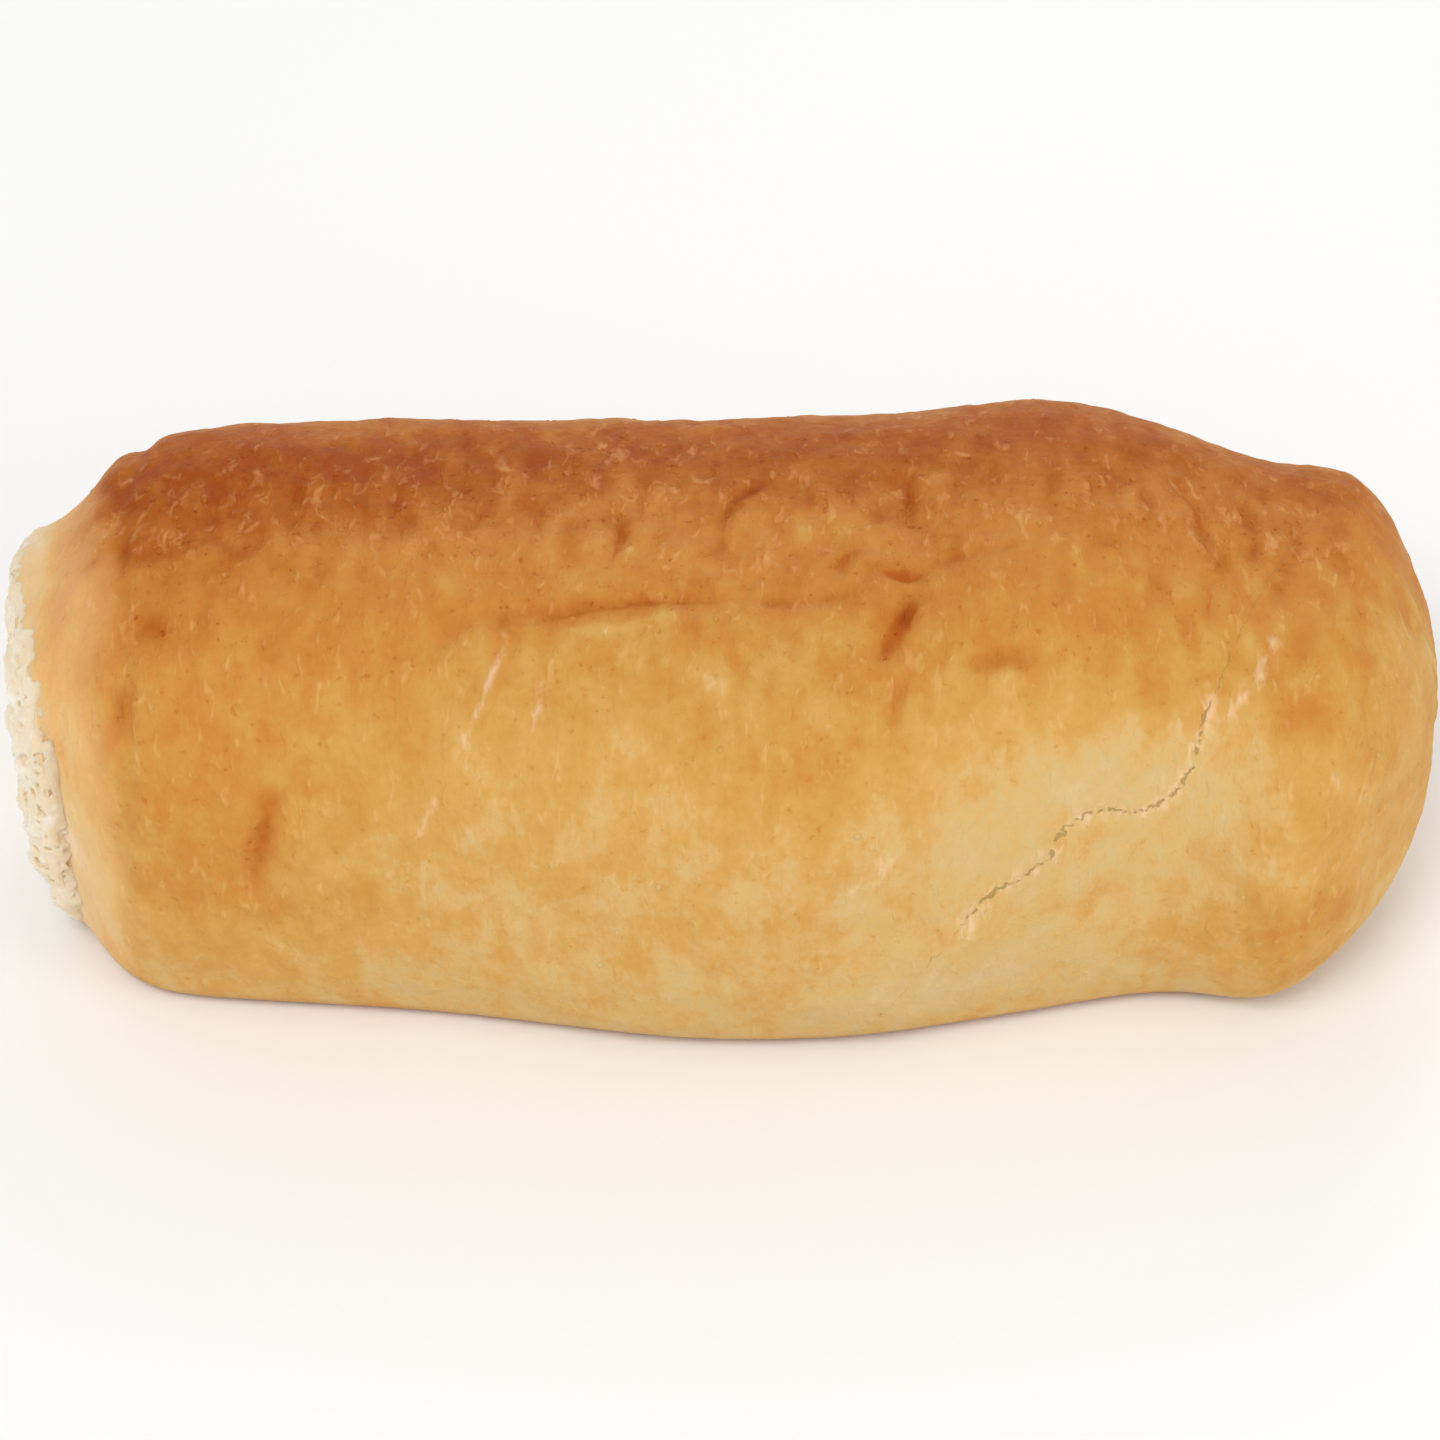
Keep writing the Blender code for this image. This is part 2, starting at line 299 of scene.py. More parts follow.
# How far it is baked, each (place from fold to rim, bake)
NECK_BAKE = (
    (0.1, 0.51), (0.3, 0.48), (0.5, 0.45), (0.7, 0.40), (0.85, 0.33), (0.95, 0.23), (1.05, 0.10),
)
NECK_PATCHES = (
    (-0.0775, -12, 0.0070, 32, -0.13),  # its low corner is paler
    (-0.0830, 92, 0.0080, 36, 0.22),  # and its top browner
)

# ---- the torn crumb

CRUMB_RING = 0.545
CRUMB_TOP_INSET = 0.11  # the skin reaches this much further over the top of the tear
CRUMB_TOP_FRONT = 60  # degrees round the tear, from where it does
CRUMB_TOP_FRONT_EASE = 25
CRUMB_TOP_BACK = 200  # and to where
CRUMB_TOP_BACK_EASE = 50
CRUMB_RIM_WIDTH = 0.145  # this far in from its edge the crumb is more even
CRUMB_RECESS = 0.0028  # how far the crust is sunk under the crumb
RECESS_INSET = 0.01
RECESS_EASE = 0.10
RECESS_WANDER = 0.020
RECESS_WANDER_SIZE = 0.0030

CRUMB_SIZES = {
    "Thickness": 0.0020,  # half of the crumb's layer, which the recess in the crust takes
    "Voxel": 0.00030,
    "Tuft size": 0.0040,
    "Tuft height": 0.0020,
    "Fibre size": 0.0012,
    "Fibre height": 0.0007,
    "Rim lift": 0.0003,
    "Deepest": 0.0011,  # the deepest that the tufts leave between them
    "Pore depth": 0.0007,  # below the tufts
    "Floor rounding": 0.0004,
    "Pore spacing": 0.0024,
    "Pore radius": 0.00105,
    "Pore rounding": 0.0003,
    "Pore bend": 0.0030,  # how far a pore strays from round
    "Fine spacing": 0.0012,
    "Fine radius": 0.00045,
    "Fine rounding": 0.00015,
    "Scrap faces": 400,  # islands of the crumb smaller than this are loose scraps
}
# Of tufts and fibres, each (its pattern's detail, its roughness, the level that gives no relief)
TUFT_PATTERN = (3.0, 0.55, 0.36)
FIBRE_PATTERN = (2.0, 0.60, 0.30)
# The tear pulled the crumb's fibres and pores out along the roll
FIBRE_PULL = (0.5, 1.0, 0.7)
PORE_PULL = (1.0, 0.75, 1.0)
FINE_PULL = (1.0, 1.0, 0.8)
PORE_SPREAD = 1.3  # how much the pores differ in radius
PORE_BEND_DETAIL = 2.0
RIM_EVENNESS = 0.6
CRUMB_MARGIN = 1.9  # of the box round the crumb, in thicknesses

# ---- blisters of the crust

BLISTER_SIZES = {
    "Density": 260000.0,  # per square metre, where the skin blistered most
    "Gap": 0.0009,
    "Smallest": 0.00018,
    "Largest": 0.00052,
    "Rareness": 2.5,  # of large blisters
    "Flatness": 0.38,
    "Seed": 7,
}
BLISTER_SEGMENTS = 9
BLISTER_RINGS = 5
BLISTER_BASE = 0.012
# Clusters, each (metres along X, degrees round, spreads, amount)
BLISTER_PATCHES = (
    (-0.012, 118, 0.010, 12, 0.9),
    (-0.067, 92, 0.006, 12, 0.7),
    (0.020, 100, 0.018, 16, 0.45),
    (0.060, 95, 0.014, 18, 0.4),
    (0.067, 98, 0.005, 8, 0.5),
    (-0.040, 100, 0.020, 20, 0.35),
    (0.010, 160, 0.050, 20, 0.3),
)

# ---- the crust's colours (sRGB)

# Each (bake, colour)
CRUST_COLOURS = (
    (0.00, "E2DCC8"),
    (0.13, "E0D0B2"),
    (0.25, "D6BD8A"),
    (0.33, "D1B178"),
    (0.37, "D4AE6E"),
    (0.43, "D1A057"),
    (0.50, "CB974C"),
    (0.56, "C88D42"),
    (0.63, "C5833B"),
    (0.70, "C27C35"),
    (0.79, "B86E28"),
    (0.86, "AF601D"),
    (0.93, "A65615"),
    (1.00, "9E480B"),
)
# Colours laid over these, each (colour, share), the lowest first
LAID_OVER = {
    "stretched": ("FFCE96", 0.33),
    "shaded groove": ("C85C1F", 0.28),  # painted shade in the heart of a deep crease
    # painted highlight on tiny raised flecks and blisters
    "highlight_flecks": ("FFC494", 0.16),
    "pale flakes": ("F4CFAA", 0.52),
    "open crack": ("A8884C", 0.80),
}
# The tray side, where clouds and specks tell the bake
FOOT_COLOURS = ((0.30, "D2A060"), (0.55, "BC7F41"), (0.75, "A5672F"))
FOOT_SHARE = 0.85
FOOT_HEIGHTS = (0.0003, 0.0030)  # it shows up to the first, and fades out by the second
FOOT_CLOUDS = 0.6
FOOT_SPECKS = 0.4

# ---- the crust's patterns

# Each (size in millimetres, detail, whether it is drawn out round the roll, curl)
CRUST_PATTERNS = {
    "clouds": (14.0, 2.0, False, 0.0),
    "blotches": (5.0, 2.0, False, 0.0),
    "streaks": (3.2, 3.0, True, 0.0),
    "wander": (1.6, 3.0, False, 0.0),
    "curls": (1.5, 2.0, True, 0.5),
    "flakes": (1.4, 2.0, True, 0.5),
    "breaks": (1.2, 1.0, False, 0.0),
    "specks": (1.1, 2.0, False, 0.0),
    "grain": (0.7, 3.0, False, 0.0),
}
PATTERN_ROUGHNESS = 0.6
ROUND_THE_ROLL = (1.0, 0.45, 0.45)
# Each mark of the crust comes out where its pattern passes from the first value to the second
MARKS = {
    "browned": (0.20, 0.60),
    "soft blotches": (0.38, 0.62),
    "shaded pits": (0.66, 0.78),
    "highlight_flecks": (0.60, 0.80),
    "shaded groove": (0.36, 0.50),
    "wide crack": (0.40, 0.55),
    "whole crack": (0.41, 0.54),
    "pale flakes": (0.60, 0.84),
}
BLISTERED_FLECKS = 0.11  # how many more flecks there are where the skin blistered
FLAKED_FLAKES = 0.20
GROOVE_FRAY = 0.5
# How much each pattern mottles the bake, and how strong that is
MOTTLING = {"clouds": 0.16, "soft blotches": 0.07, "streaks": 0.26, "specks": 0.12}
MOTTLING_PALE = 0.38  # on pale skin
MOTTLING_BROWNED = 0.60  # and what browned skin has more
# painted shade in creases and pits makes the bake browner, and painted highlight on flecks makes
# it paler
MARKS_BAKE = {"shaded groove": 0.18, "crease": 0.13, "shaded pits": 0.12, "highlight_flecks": -0.11}
# How much each stands out from the skin
CRUST_RELIEF = {
    "grain": 0.4,
    "streaks": 0.5,
    "curls": 1.6,
    "shaded pits": -0.5,
    "shaded groove": -0.5,
    "open crack": -0.6,
    "pale flakes": 0.4,
}
CRUST_BUMP = {"Strength": 0.55, "Distance": 0.0005}
CRUST_ROUGHNESS = 0.46
STREAK_ROUGHNESS = 0.18
CRUST_FINISH = {
    "IOR": 1.45,
    "Specular IOR Level": 0.10,
    "Subsurface Weight": 0.12,
    "Subsurface Radius": (1.0, 0.45, 0.18),
    "Subsurface Scale": 0.0015,
}
BLISTER_HIGHLIGHT = -0.04  # painted highlight: a paler copy of the crust stands for glints on the blisters' tops

# ---- the crumb's and floor's looks

CRUMB_COLOURS = ((0.35, "F0E7D9"), (0.60, "EBDEC8"), (0.95, "E6D2AE"))
CRUMB_RIM_COLOUR = "E5D2B2"
CRUMB_RIM_CLOUDS = 0.8
CRUMB_RIM_SHOWS = (1.0, 1.5)
# painted shade: the crumb's hollows are darker and yellower
CRUMB_HOLLOW_SHADE = 0.45
CRUMB_CLOUD = (5.0, 3.0, 0.50)  # its size in millimetres, detail and roughness
CRUMB_GRAIN = (0.8, 4.0, 0.65)
CRUMB_BUMP = {"Strength": 0.6, "Distance": 0.0004}
CRUMB_FINISH = {
    "Roughness": 0.85,
    "IOR": 1.40,
    "Specular IOR Level": 0.25,
    "Subsurface Weight": 0.45,
    "Subsurface Radius": (1.0, 0.80, 0.55),
    "Subsurface Scale": 0.0014,
}
FLOOR_COLOUR = "F8F8F7"
FLOOR_FINISH = {"Roughness": 0.9, "Specular IOR Level": 0.1}

# ---- camera and light

CAMERA_LENS = 100.0
CAMERA_SENSOR = 36.0
CAMERA_DISTANCE = 0.4955
CAMERA_ELEVATION = 40.0
CAMERA_TARGET = (0.0, -0.00558, 0.02727)
CAMERA_NEAREST = 0.01
FLOOR_REACH = 3.0
SKY_COLOUR = "FFFFFF"
SKY_STRENGTH = 0.61
# Round soft lights, each (name, place, aim, width, watts)
LIGHTS = (
    ("key", (-0.25, -0.56, 0.84), (0.0, 0.0, 0.02), 0.45, 3.70),
    ("right fill", (0.70, -0.42, 0.34), (0.03, 0.0, 0.02), 0.50, 1.9),
    ("left fill", (-0.66, -0.40, 0.20), (-0.04, 0.0, 0.02), 0.40, 0.45),
    ("back", (0.10, 0.75, 0.50), (0.0, 0.0, 0.04), 0.50, 1.5),
)

# ---- nodes and colours

MATHS = "ShaderNodeMath"
VECTOR_MATHS = "ShaderNodeVectorMath"
NOISE = "ShaderNodeTexNoise"
RANGE = "ShaderNodeMapRange"
RAMP = "ShaderNodeValToRGB"
MIX_FACTOR, MIX_FROM, MIX_TO, MIX_RESULT = 0, 6, 7, 2
SOCKETS = {
    float: "NodeSocketFloat",
    int: "NodeSocketInt",
    bpy.types.Material: "NodeSocketMaterial",
}


def linear(code):
    """A colour's sRGB hex code as linear red, green, blue and alpha."""
    parts = [int(code[start : start + 2], 16) / 255 for start in (0, 2, 4)]
    return [p / 12.92 if p <= 0.04045 else ((p + 0.055) / 1.055) ** 2.4 for p in parts] + [1.0]


def give(tree, node, inputs):
    """Sets a node's inputs, in order or by name, to values, outputs or nodes' first outputs."""
    named = inputs if isinstance(inputs, dict) else dict(enumerate(inputs))
    for name, value in named.items():
        if isinstance(value, bpy.types.Node):
            value = value.outputs[0]
        if isinstance(value, bpy.types.NodeSocket):
            tree.links.new(value, node.inputs[name])
        else:
            node.inputs[name].default_value = value


def add(tree, kind, inputs=(), operation=None, **settings):
    """A new node of any kind, with its inputs, operation and other settings."""
    node = tree.nodes.new(kind)
    if operation:
        settings["operation"] = operation
    for name, value in settings.items():
        setattr(node, name, value)
    give(tree, node, inputs)
    return node


def set_stops(ramp, stops):
    """Gives a colour ramp its stops, each (position, colour)."""
    elements = ramp.color_ramp.elements
    while len(elements) > 1:
        elements.remove(elements[-1])
    elements[0].position = stops[0][0]
    elements[0].color = linear(stops[0][1])
    for position, code in stops[1:]:
        elements.new(position).color = linear(code)


# ---- shaping the dough


def smoothstep(t):
    t = np.clip(t, 0.0, 1.0)
    return t * t * (3.0 - 2.0 * t)


def bell(t):
    """A soft bump, 1 at 0 and next to nothing from 2."""
    return np.exp(-(t**2))


def swells(x, bumps):
    total = np.zeros_like(x)
    for centre, spread, height in bumps:
        total += height * bell((x - centre) / spread)
    return total


def dough_block(steps):
    """A cube from -1 to 1, cut into a grid of that many steps along each axis."""
    shape = bmesh.new()
    bmesh.ops.create_cube(shape, size=2.0)
    for axis, count in enumerate(steps):
        along = [
            edge
            for edge in shape.edges
            if abs(edge.verts[0].co[axis] - edge.verts[1].co[axis]) > 1.0
        ]
        bmesh.ops.subdivide_edges(shape, edges=along, cuts=count - 1, use_grid_fill=True)
    mesh = bpy.data.meshes.new("roll_crust")
    shape.to_mesh(mesh)
    shape.free()
    return mesh


def read_vectors(collection, name):
    values = np.empty(len(collection) * 3, np.float32)
    collection.foreach_get(name, values)
    return values.reshape(-1, 3).astype(np.float64)


def move_vertices(mesh, points):
    mesh.vertices.foreach_set("co", points.astype(np.float32).ravel())
    mesh.update()


def keep_on_points(mesh, name, values):
    """Stores one number for each vertex under that name."""
    attribute = mesh.attributes.new(name, "FLOAT", "POINT")
    attribute.data.foreach_set("value", values.astype(np.float32))


def uneven(points, size, part=0.0):
    """Smooth noise from -1 to 1 with bumps of that size, from any part of its pattern."""
    return np.array([noise.noise(place) for place in ((points + part) / size).tolist()])


def end_ring(block):
    """The rings of the block's end faces, from 1 at the edge to 0 in the middle."""
    return np.maximum(np.abs(block[:, 1]), np.abs(block[:, 2]))


def torn_end(ring):
    """The share of the section that each ring of the torn end keeps, its neck and its bulge."""
    neck = np.clip((NECK_FOOT_RING - ring) / (NECK_FOOT_RING - TEAR_RIM_RING), 0.0, 1.0)
    face = STUB_SHARE * np.sin(np.pi / 2 * np.clip(ring / TEAR_RIM_RING, 0.0, 1.0))
    wall = STUB_SHARE + (NECK_FOOT_RING - STUB_SHARE) * (1.0 - neck) ** 2
    share = np.where(ring < TEAR_RIM_RING, face, wall)
    share = np.where(ring > NECK_FOOT_RING, ring, share)
    bulge = np.sqrt(np.clip(1.0 - (face / STUB_SHARE) ** CRUMB_ROUNDNESS, 0.0, 1.0))
    return share, neck, bulge


def rest_on_tray(z):
    """Heights above the tray, with what would be below it pressed flat on it."""
    rim = np.maximum(FOOT_ROUNDING - np.abs(z), 0.0)
    return np.maximum(z, 0.0) + rim**2 / (4 * FOOT_ROUNDING)


def plain_roll(block):
    """The block's points moved onto the roll, with their part of the neck and the bulge."""
    block_x, block_y, block_z = block.T
    ring = end_ring(block)
    power = SECTION_POWER
    section = (np.abs(block_y) ** power + np.abs(block_z) ** power) ** (1 / power)
    end_power = np.where(block_x < 0, TORN_END_POWER, ROUND_END_POWER)
    shrink = (np.abs(block_x) ** end_power + ring**end_power) ** (-1 / end_power)
    share, along_neck, bulge = torn_end(ring)
    torn = block_x <= -1.0
    share = np.where(torn, share, ring)
    along_neck = np.where(torn, along_neck, 0.0)
    neck = along_neck**2
    bulge = np.where(torn, bulge, 0.0)
    reach = share * shrink / np.maximum(section, 1e-9)
    across = block_y * reach
    up = block_z * reach * (1.0 - STUB_FLATTENING * neck)
    along = block_x * shrink

    x = BODY_CENTRE_X + BODY_LENGTH / 2 * along
    crown = CROWN_HEIGHT + swells(x, CROWN_SWELLS)
    back = BACK_DEPTH * crown / CROWN_HEIGHT
    front = FRONT_DEPTH + swells(x, FRONT_SWELLS)
    y = across * np.where(across < 0, front, back) - STUB_FORWARD * neck
    z = AXIS_HEIGHT + up * np.where(up > 0, crown - AXIS_HEIGHT, AXIS_HEIGHT + FOOT_SINK)
    x += ROUND_END_SLANT * y * smoothstep(along)
    x -= neck * (NECK_LENGTH + TEAR_SLANT * y + TEAR_LEAN * (z - AXIS_HEIGHT))
    x -= CRUMB_BULGE * bulge
    points = np.stack([x, y, rest_on_tray(z)], axis=1)
    points[:, 0] -= TEAR_WANDER * neck * uneven(points, TEAR_WANDER_SIZE)
    return points, along_neck, bulge


def unrolled(points):
    """Places on the crust, flat: metres along the roll, and metres round it from the front."""
    turn = np.arctan2(points[:, 2] - AXIS_HEIGHT, -points[:, 1])
    turn = np.mod(turn + np.pi / 2, 2 * np.pi) - np.pi / 2
    return np.stack([points[:, 0], GIRTH_RADIUS * turn], axis=1)


def degrees_round(places):
    return np.degrees(places[:, 1] / GIRTH_RADIUS)


def in_space(places):
    """The unrolled places as points of a plane in space, where the noise is."""
    return np.column_stack([places, np.zeros(len(places))])


def bent(corners):
    """A path with its corners cut, which keeps its two ends."""
    for _ in range(CORNER_CUTS):
        near = 0.75 * corners[:-1] + 0.25 * corners[1:]
        far = 0.25 * corners[:-1] + 0.75 * corners[1:]
        middle = np.stack([near, far], axis=1).reshape(-1, 2)
        corners = np.vstack([corners[:1], middle[1:-1], corners[-1:]])
    return corners


def beside_steps(places, path):
    """For each straight step of a path: the step, each place's share of it and its way off it."""
    corners = bent(np.array([(x, GIRTH_RADIUS * math.radians(degrees)) for x, degrees in path]))
    for start, end in zip(corners, corners[1:]):
        step = end - start
        share = np.clip((places - start) @ step / np.linalg.norm(step) ** 2, 0.0, 1.0)
        yield step, share, places - start - share[:, None] * step


def nearest_on_path(places, path):
    """Each place's distance to a path, how far along the path that is, and the path's length."""
    distance = np.full(len(places), np.inf)
    along = np.zeros(len(places))
    travelled = 0.0
    for step, share, off in beside_steps(places, path):
        length = np.linalg.norm(step)
        gap = np.linalg.norm(off, axis=1)
        along = np.where(gap < distance, travelled + share * length, along)
        distance = np.minimum(gap, distance)
        travelled += length
    return distance, along, travelled


def across_crack(places):
    """How far each place is from the crack, negative on its one side."""
    distance = np.full(len(places), np.inf)
    side = np.ones(len(places))
    for step, _, off in beside_steps(places, CRACK_PATH):
        gap = np.linalg.norm(off, axis=1)
        turn = step[0] * off[:, 1] - step[1] * off[:, 0]
        side = np.where(gap < distance, np.where(turn < 0, -1.0, 1.0), side)
        distance = np.minimum(gap, distance)
    return side * np.minimum(distance, CRACK_REACH)


def fading(along, length):
    """From 0 at the ends of a path to 1 in its middle."""
    return np.abs(np.sin(np.pi * along / length)) ** CREASE_TAPER


def creased(places):
    """The depth of the creases and folds at each place, and the painted shade that each crease
    lays on the colour there.
    """
    flat = in_space(places)
    sways = [uneven(flat, CREASE_SWAY_SIZE, part=part) for part in (0.0, 1.0)]
    swayed = places + CREASE_SWAY * np.column_stack(sways)
    broken = 1.0 + CREASE_BREAKS * uneven(flat, CREASE_SWAY_SIZE, part=2.0)
    depth = np.zeros(len(places))
    shade = np.zeros(len(places))
    lines = [(crease, True) for crease in CREASES] + [(fold, False) for fold in FOLDS]
    for (half_width, deepest, path), dark in lines:
        distance, along, length = nearest_on_path(swayed, path)
        fullness = CREASE_END_DEPTH + (1 - CREASE_END_DEPTH) * fading(along, length)
        line = fullness * broken * np.exp(-((distance / half_width) ** CREASE_CRISPNESS))
        depth += deepest * line
        # painted shade: a crease darkens the colour beside it, more the deeper it is
        if dark:
            near = np.clip(1.0 - distance / (CREASE_SHADE_WIDTH * half_width), 0.0, 1.0)
            darkness = min(deepest / CREASE_DARKEST_DEPTH, 1.0) ** CREASE_SHADE_POWER
            shade = np.maximum(shade, darkness * fullness * near)
    return depth, shade


def flaked(places):
    """How much the skin has flaked at each place."""
    total = np.zeros(len(places))
    for half_width, path in FLAKE_STREAKS:
        distance = nearest_on_path(places, path)[0]
        total = np.maximum(total, bell(distance / half_width))
    return total


def streaked(places, streaks):
    """The sum of soft streaks, each (half width, amount, path)."""
    total = np.zeros(len(places))
    for half_width, amount, path in streaks:
        distance, along, length = nearest_on_path(places, path)
        total += amount * fading(along, length) * bell(distance / half_width)
    return total


def patches(places, spots):
    """The sum of soft round patches, each (metres along, degrees round, spreads, amount)."""
    total = np.zeros(len(places))
    for x, degrees, spread, spread_degrees, amount in spots:
        away_along = (places[:, 0] - x) / spread
        turn = places[:, 1] / GIRTH_RADIUS - math.radians(degrees)
        away_round = turn / math.radians(spread_degrees)
        total += amount * np.exp(-(away_along**2) - away_round**2)
    return total


def wrinkles(points, places):
    """Short wrinkles that run round the roll, patchy and mostly on the crown, from -1 to 1."""
    flat = in_space(places)
    sway = uneven(flat, WRINKLE_SWAY_SIZE, part=0.5)
    flat[:, 0] = places[:, 0] / WRINKLE_SPACING + WRINKLE_SWAY * sway
    flat[:, 1] = places[:, 1] / WRINKLE_LENGTH
    patchy = WRINKLE_COVER + WRINKLE_CONTRAST * uneven(points, WRINKLE_PATCH_SIZE, part=0.3)
    from_crown = (degrees_round(places) - WRINKLE_CROWN) / WRINKLE_REACH
    zone = WRINKLE_LEAST + (1.0 - WRINKLE_LEAST) * bell(from_crown)
    return uneven(flat, 1.0) * smoothstep(patchy) * zone


def baked(points, places, block):
    """How far each place is baked, with the painted shade of creases and dimples in it, and how
    much of it is the neck's stretched skin.
    """
    degrees = degrees_round(places)
    from_crown = np.abs(degrees - BAKE_CENTRE) / BAKE_SPREAD
    bake = BAKE_SIDE + BAKE_CROWN * np.exp(-(from_crown**BAKE_FALL))
    bake += patches(places, BAKE_PATCHES) + streaked(places, SHADE_AND_BAKE_STREAKS)
    inwards = smoothstep(1.0 - end_ring(block) / ROUND_END_RING)
    bake += np.where(block[:, 0] >= 1.0, inwards, 0.0) * (BAKE_ROUND_END - bake)

    fold_x = NECK_FOLD_X - NECK_FOLD_LEAN * smoothstep((degrees - NECK_LEAN_FROM) / NECK_LEAN_EASE)
    rim_x = BODY_CENTRE_X - BODY_LENGTH / 2 - NECK_LENGTH
    rim_x = rim_x - TEAR_SLANT * points[:, 1] - TEAR_LEAN * (points[:, 2] - AXIS_HEIGHT)
    to_rim = (fold_x - points[:, 0]) / (fold_x - rim_x)
    to_rim += NECK_FOLD_WANDER * uneven(points, NECK_FOLD_SIZE)
    stops, amounts = np.array(NECK_BAKE).T
    browned = NECK_BROWNED * (bake - BAKE_SIDE) * smoothstep(NECK_BROWNED_FALL * (1.0 - to_rim))
    neck_bake = np.interp(to_rim, stops, amounts) + browned + patches(places, NECK_PATCHES)
    bake += smoothstep(to_rim / NECK_BAKE_EASE) * (neck_bake - bake)
    return bake, smoothstep(to_rim / NECK_STRETCH_EASE)


def edge_of_crumb(places):
    """The ring of the torn end's face at which the crumb meets the skin."""
    degrees = degrees_round(places)
    over_top = smoothstep((degrees - CRUMB_TOP_FRONT) / CRUMB_TOP_FRONT_EASE)
    before_back = smoothstep((CRUMB_TOP_BACK - degrees) / CRUMB_TOP_BACK_EASE)
    return CRUMB_RING - CRUMB_TOP_INSET * (over_top * before_back)


# ---- pieces


def shown(name, mesh):
    piece = bpy.data.objects.new(name, mesh)
    bpy.context.scene.collection.objects.link(piece)
    return piece


def plain_mesh(piece):
    """Applies a piece's modifiers, as the viewport evaluates them."""
    depsgraph = bpy.context.evaluated_depsgraph_get()
    mesh = bpy.data.meshes.new_from_object(piece.evaluated_get(depsgraph))
    piece.modifiers.clear()
    piece.data = mesh
    mesh.name = piece.name


def faces_between(mesh, wanted):
    """The mesh of those faces alone whose vertices are all wanted."""
    part = mesh.copy()
    shape = bmesh.new()
    shape.from_mesh(part)
    unwanted = [vert for vert, keep in zip(shape.verts, wanted.tolist()) if not keep]
    bmesh.ops.delete(shape, geom=unwanted, context="VERTS")
    shape.to_mesh(part)
    shape.free()
    return part


def crust_relief(points, crease, crack, wrinkle, fine):
    """How far the crust stands out from the dough's plain form."""
    crust = LUMP_HEIGHT * uneven(points, LUMP_SIZE) - crease
    crust -= CRACK_DEPTH * bell(crack / CRACK_HALF_WIDTH)
    return crust + (fine - WRINKLE_DEPTH * wrinkle)


def moved_into_box(surface):
    """The surface, with its middle at the middle of the solid's box and its foot on the tray."""
    low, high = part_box("roll")
    middle = (low + high) / 2
    shift = np.array([middle.x, middle.y, 0.0]) - (surface.min(axis=0) + surface.max(axis=0)) / 2
    shift[2] = -surface[:, 2].min()
    return surface + shift


def make_crust_and_tear():
    """The whole crust, recessed where the crumb shows, and the sheet that the crumb grows on."""
    dough = dough_block(BLOCK_STEPS)
    block = read_vectors(dough.vertices, "co")
    points, along_neck, bulge = plain_roll(block)
    places = unrolled(points)
    move_vertices(dough, points)
    normals = read_vectors(dough.vertex_normals, "vector")

    crease, shade = creased(places)
    crack = across_crack(places)
    wrinkle = wrinkles(points, places)
    fine = BUMP_HEIGHT * uneven(points, BUMP_SIZE) + PIMPLE_HEIGHT * uneven(points, PIMPLE_SIZE)
    crust = crust_relief(points, crease, crack, wrinkle, fine)
    torn_face = bulge * TEAR_ROUGHNESS * uneven(points, TEAR_GRAIN)
    neck = along_neck**2
    above_foot = smoothstep(points[:, 2] / FOOT_FADE)
    form = above_foot * ((1.0 - neck) * crust + torn_face + NECK_BUMPS * neck * fine)
    surface = moved_into_box(points + normals * form[:, None])

    ring = end_ring(block)
    crumb_ring = edge_of_crumb(places)
    at_torn_end = block[:, 0] <= -1.0
    move_vertices(dough, surface - normals * CRUMB_SIZES["Thickness"])
    keep_on_points(dough, "rim", smoothstep(1.0 + (ring - crumb_ring) / CRUMB_RIM_WIDTH))
    tear = faces_between(dough, at_torn_end & (ring <= crumb_ring))
    tear.name = "torn_crumb"

    ragged = ring + RECESS_WANDER * uneven(points, RECESS_WANDER_SIZE)
    recess = smoothstep((crumb_ring - RECESS_INSET - ragged) / RECESS_EASE)
    sunk = above_foot * CRUST_SINK + np.where(at_torn_end, recess, 0.0) * CRUMB_RECESS
    move_vertices(dough, surface - normals * sunk[:, None])
    bake, stretched = baked(points, places, block)
    blistered = np.clip(BLISTER_BASE + patches(places, BLISTER_PATCHES), 0.0, 1.0)
    told = {
        # painted shade in the wrinkles' hollows is part of the bake
        "bake": bake + WRINKLE_SHADE * wrinkle,
        "stretched": stretched,
        # painted shade of the creases, partly their browner crust
        "crease": (1.0 - neck) * shade,
        "crack": crack / MM,
        "flaked": flaked(places),
        "blistered": above_foot * (1.0 - neck) * blistered,
    }
    for name, values in told.items():
        keep_on_points(dough, name, values)

    crust_piece = shown("roll_crust", dough)
    thin = crust_piece.modifiers.new("thin out", "DECIMATE")
    thin.ratio = CRUST_TRIANGLES / (2 * len(dough.polygons))
    plain_mesh(crust_piece)
    crust_piece.data.shade_smooth()
    return crust_piece, shown("torn_crumb", tear)


def node_group(name, inputs):
    """An empty Geometry Nodes tree with those named inputs and their values."""
    tree = bpy.data.node_groups.new(name, "GeometryNodeTree")
    tree.interface.new_socket("Geometry", in_out="INPUT", socket_type="NodeSocketGeometry")
    for label, value in inputs.items():
        kind = SOCKETS[type(value)]
        tree.interface.new_socket(label, in_out="INPUT", socket_type=kind).default_value = value
    tree.interface.new_socket("Geometry", in_out="OUTPUT", socket_type="NodeSocketGeometry")
    return tree


def grow(piece, tree, geometry, material):
    """Ends a tree with that geometry, runs it on a piece and keeps the result as its mesh."""
    real = add(tree, "GeometryNodeRealizeInstances", (geometry,))
    finished = add(tree, "GeometryNodeSetMaterial", {"Geometry": real, "Material": material})
    add(tree, "NodeGroupOutput", (finished,))
    piece.modifiers.new(tree.name, "NODES").node_group = tree
    plain_mesh(piece)


